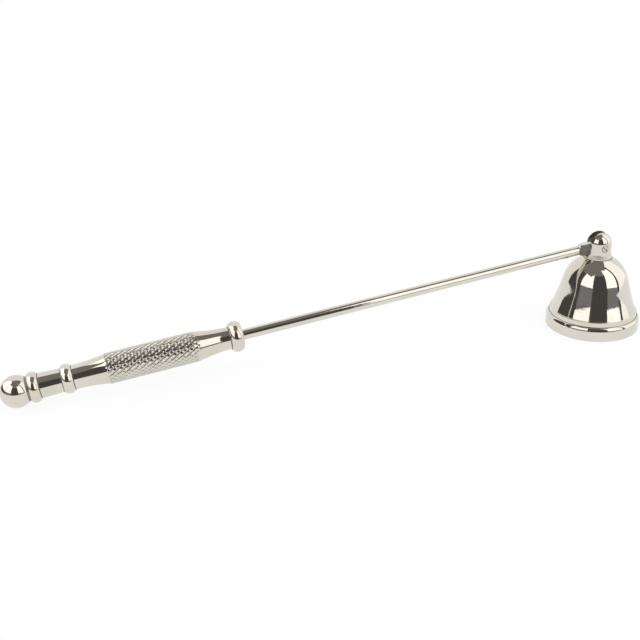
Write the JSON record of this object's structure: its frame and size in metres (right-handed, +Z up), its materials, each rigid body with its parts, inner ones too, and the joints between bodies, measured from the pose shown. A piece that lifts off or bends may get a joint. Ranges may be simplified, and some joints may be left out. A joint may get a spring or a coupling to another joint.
{
  "type": "candle snuffer",
  "caption": "Bell-shaped candle snuffer: a flared metal cup hinged on a pin in a slotted knob, on a long thin rod with a knurled, ringed grip and a ball end.",
  "frame": {"origin": "centre of the bell's mouth, on the plane of the rim that the bell stands on", "axes": "+Z up along the bell's axis, -X towards the handle, +Y along the hinge screw, away from its head"},
  "size_m": [0.2722, 0.04, 0.0428],
  "materials": {
    "nickel": "polished nickel plate on brass",
    "fastener": "nickel-plated screw, washer and nut"
  },
  "bodies": {
    "head": {"bell": "nickel", "rim_band": "nickel", "knob": "nickel", "crown_washer": "fastener", "crown_nut": "fastener", "hinge_screw": "fastener"},
    "handle": {"rod": "nickel", "grip": "nickel", "end_ball": "nickel"}
  },
  "joints": [
    {"name": "bell_hinge", "type": "hinge", "parent": "head", "child": "handle", "pos_m": [0, 0, 0.0367], "axis": [0, 1, 0], "range_deg": [-7.5, 201.5]}
  ]
}
